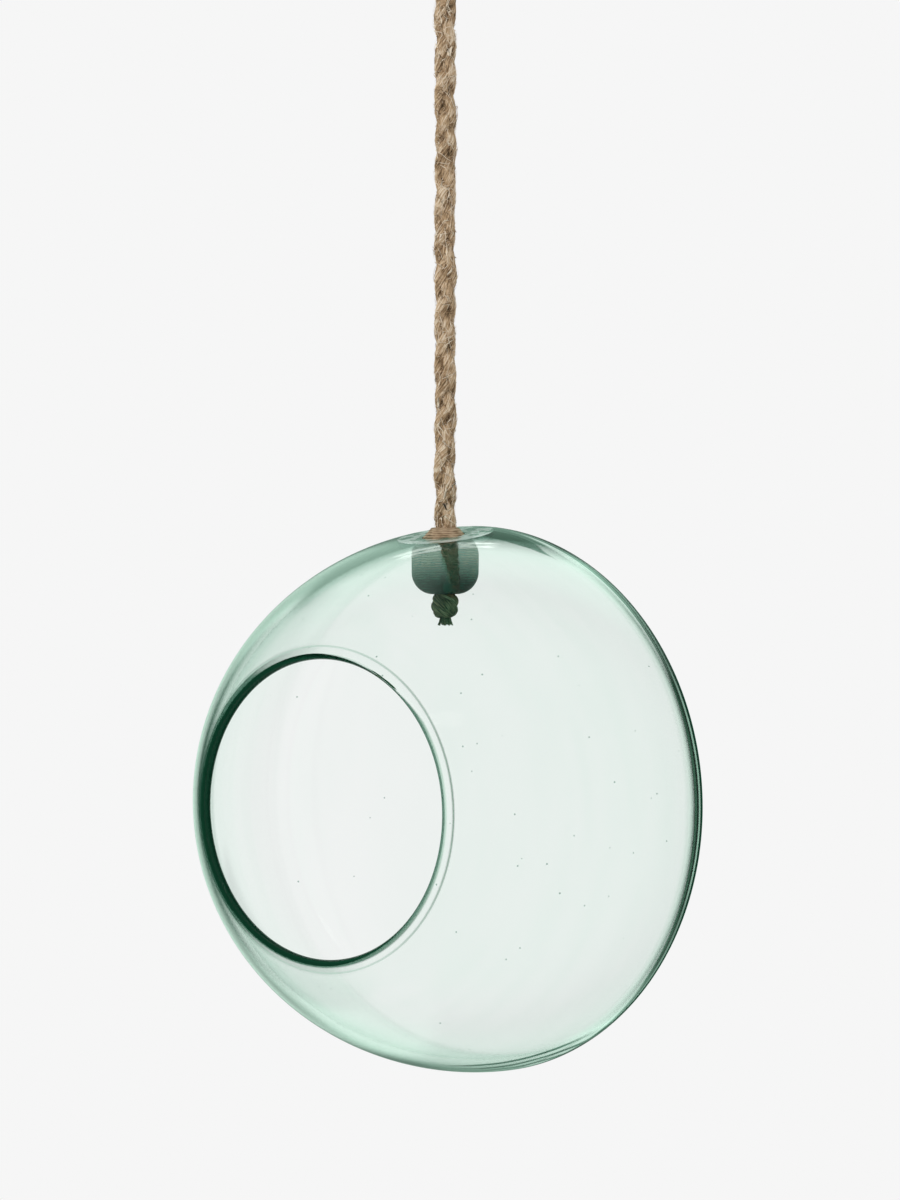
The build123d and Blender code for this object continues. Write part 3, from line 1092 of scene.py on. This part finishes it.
def globe_shares(mesh):
    """How much of each tint the glass takes at each vertex; bearings are degrees round the globe's axis."""
    rel, along, out = from_middle(read(mesh.vertices, "co", 3))
    bearing = np.degrees(np.arctan2(rel[:, 2], rel[:, 0]))
    outside = wall_level(along, out, *OUTER_WALL) > OUTSIDE_LEVEL
    from_lip = np.hypot(out - lip_middle[0], along - lip_middle[1])
    near_lip = from_lip < 1.1 * lip_radius
    inward = (lip_middle[0] - out) / lip_radius
    # The lip is thinnest at its top, so its painted dark bands are narrower and fainter there, and the rim's
    # painted shade is darkest on its right side
    lip_top = progress(bearing, 125, 90) * progress(bearing, 35, 60)
    lip_low = progress(bearing, -60, -80) * progress(bearing, -135, -110)
    rim_right = progress(bearing, 62, 27, 0.1) * progress(bearing, -62, -40, 0.1)
    # Painted shade: dark bands in the glass at the lip's bead and shoulder, the back's bend, the rim and the
    # seam
    bead = progress(inward - 1.1 * lip_top, -0.6, -0.35)
    shoulder = progress(from_lip, 1.95 * lip_radius, 1.5 * lip_radius)
    bend = progress(along, -3.5 * MM, -7.5 * MM) * progress(out, 70 * MM, 85 * MM)
    edge = progress(along, 3.4 * MM, 2 * MM) * progress(out, 100 * MM, 106 * MM)
    on_seam = np.abs(along - SEAM_FORWARD) < 0.2 * MM
    return {
        "bead": np.where(near_lip, bead, 0),
        "shoulder": shoulder * (1 - 0.85 * lip_top) * (1 - 0.6 * lip_low),
        "bend": np.where(outside, 0, bend),
        "outside": outside * 1.0,
        "edge": np.where(outside, edge * rim_right, 0),
        "seam": (outside & ~near_lip & on_seam) * 1.0,
    }


glass = globe.data
glass.materials.clear()
glass.materials.append(glass_look)
glass.materials.append(ground_look)
glass.polygons.foreach_set("use_smooth", [True] * len(glass.polygons))
glass.normals_split_custom_set(globe_normals(glass).tolist())
for label, values in globe_shares(glass).items():
    glass.attributes.new(label, "FLOAT", "POINT").data.foreach_set("value", values)
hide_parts("globe")
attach(globe, "globe")


# Floor
def paper_material():
    """Pale paper: it takes the vase's soft shade, and fades into the bright background far away."""
    made, tree, shader, output = new_material("paper_floor")
    feed(shader, {"Base Color": (0.86, 0.86, 0.86, 1), "Roughness": 0.9, "Specular IOR Level": 0.0})
    glow = node(tree, "ShaderNodeEmission", {"Color": (PAPER, PAPER, PAPER, 1), "Strength": 1.0})[0]
    path = node(tree, "ShaderNodeLightPath")
    through_glass = maths("MAXIMUM", path["Is Glossy Ray"], path["Is Transmission Ray"])
    distance = vector("LENGTH", object_place(tree), out="Value")
    fade = node(tree, "ShaderNodeMapRange", {"Value": distance, "From Min": 1.0, "From Max": 2.6})
    bright = maths("MAXIMUM", through_glass, product(fade["Result"], path["Is Camera Ray"]))
    mix = node(tree, "ShaderNodeMixShader", {"Fac": bright, 1: shader.outputs["BSDF"], 2: glow})
    feed(output, {"Surface": mix[0]})
    return made


floor = new_piece("floor", *lathe([(0, FLOOR_Z), (FLOOR_RADIUS, FLOOR_Z)], 96, upright))
floor.data.materials.append(paper_material())
floor.visible_glossy = False
floor.visible_transmission = False


# World
def studio_world():
    """Pale behind the object, with green cards that the glass reflects.

    Cards are placed by how far a direction goes away, to the right and up.
    """
    world = bpy.data.worlds.new("studio")
    world.use_nodes = True
    tree = world.node_tree
    tree.nodes.clear()
    path = node(tree, "ShaderNodeLightPath")
    direction = node(tree, "ShaderNodeTexCoord")["Generated"]
    away, right, up = (dot(direction, axis) for axis in (away_from_front, to_right, (0, 0, 1)))

    def more(value, limit):
        return maths("GREATER_THAN", value, limit)

    def card(*colour):
        return node(tree, "ShaderNodeBackground", {"Color": (*colour, 1), "Strength": 1.0})[0]

    def mixed(share, first, second):
        return node(tree, "ShaderNodeMixShader", {"Fac": share, 1: first, 2: second})[0]

    def over(first, second, *sides):
        return mixed(window(*sides), first, second)

    turned_back = more(path["Glossy Depth"], 0.5)
    been_inside = more(path["Transmission Depth"], 0.5)
    across = more(path["Transmission Depth"], 2.5)
    seen = maths("MAXIMUM", path["Is Glossy Ray"], path["Is Transmission Ray"])
    seen = maths("MAXIMUM", seen, path["Is Camera Ray"])
    seen = product(seen, maths("LESS_THAN", path["Diffuse Depth"], 0.5))
    up_or_down = product(up, up)
    to_a_side = product(right, right)
    # What lights the matt surfaces, in the open and inside the globe
    green = over(card(0.07, 0.3, 0.25), card(0.33, 0.8, 0.69), (to_a_side, 0.2, 0.75))
    lit = mixed(been_inside, card(0.62, 0.62, 0.62), green)
    # Cards that the outside mirrors: a tall strip at the right with its two ends and its dark rim
    outside = over(card(0.35, 1.2, 0.75), card(0.23, 0.36, 0.29), (away, -0.3, 0.3))
    outside = over(
        outside, card(3.2, 5.4, 4.2),
        (away, 0.4, 0.5), (away, 0.72, 0.62), (right, 0.2, 0.4), (up, 0.65, 0.2), (up, -0.65, -0.2),
    )
    outside = over(
        outside, card(1.35, 2.3, 1.8),
        (up_or_down, 0.08, 0.2), (away, 0.5, 0.62), (right, 0.15, 0.3), (up, -0.7, -0.55),
    )
    rim = ((right, 0.15, 0.3), (away, 0.74, 0.82), (up, 0.3, 0.15))
    outside = over(outside, card(0.004, 0.14, 0.065), *rim)
    # The left side, pale and then green, and a pale card at the top
    outside = over(outside, card(0.85, 1.18, 1.0), (right, -0.05, -0.15))
    left = over(card(0.02, 0.1, 0.06), card(0.15, 0.95, 0.5), (away, 0.55, 0.2))
    outside = over(outside, left, (right, -0.33, -0.43))
    outside = over(outside, card(0.65, 1.2, 0.92), (up, 0.55, 0.75), (away, 0.28, 0.5))
    # Streaked glint beside the flat
    streaked = node(tree, "ShaderNodeCombineXYZ", {"X": product(right, 14.0), "Y": product(up, 80.0)})
    streaks = noise(streaked[0], 1, 2)
    outside = over(
        outside, card(3.0, 3.4, 3.15),
        (streaks, 0.38, 0.52), (up, 0.575, 0.605), (up, 0.69, 0.66),
        (right, -0.2, -0.16), (right, 0.08, 0.04),
    )
    # What the inner side mirrors
    inner = over(card(0.006, 0.042, 0.024), card(0.8, 0.91, 0.85), (away, 0.3, 0.7))
    inner = over(inner, card(0.3, 0.45, 0.37), (away, 0.9, 0.98))
    inner = over(
        inner, card(0.12, 0.22, 0.17),
        (maths("ADD", up, right), -0.02, 0.1), (away, 0.75, 0.85), (up, 0.03, 0.12),
    )
    inner = mixed(across, inner, card(0.72, 0.84, 0.78))
    sky = mixed(turned_back, card(PAPER, PAPER, PAPER), mixed(been_inside, outside, inner))
    node(tree, "ShaderNodeOutputWorld", {"Surface": mixed(seen, lit, sky)})
    return world


scene.world = studio_world()


# Lights
def soft_light(name, azimuth, elevation, distance, size, energy):
    """A square soft light that faces the globe, seen only by what it lights."""
    data = bpy.data.lights.new(name, "AREA")
    data.shape = "SQUARE"
    data.size = size
    data.energy = energy
    light = bpy.data.objects.new(name, data)
    scene.collection.objects.link(light)
    a, e = radians(azimuth), radians(elevation)
    back = np.array([sin(a) * cos(e), -cos(a) * cos(e), sin(e)])
    light.location = GLOBE_MIDDLE + back * distance
    light.rotation_euler = (pi / 2 - e, 0, a)
    light.visible_camera = False
    light.visible_glossy = False
    light.visible_transmission = False


soft_light("key_light", azimuth=-20, elevation=35, distance=2.2, size=1.2, energy=18)
soft_light("fill_light", azimuth=95, elevation=20, distance=2.4, size=1.4, energy=7)
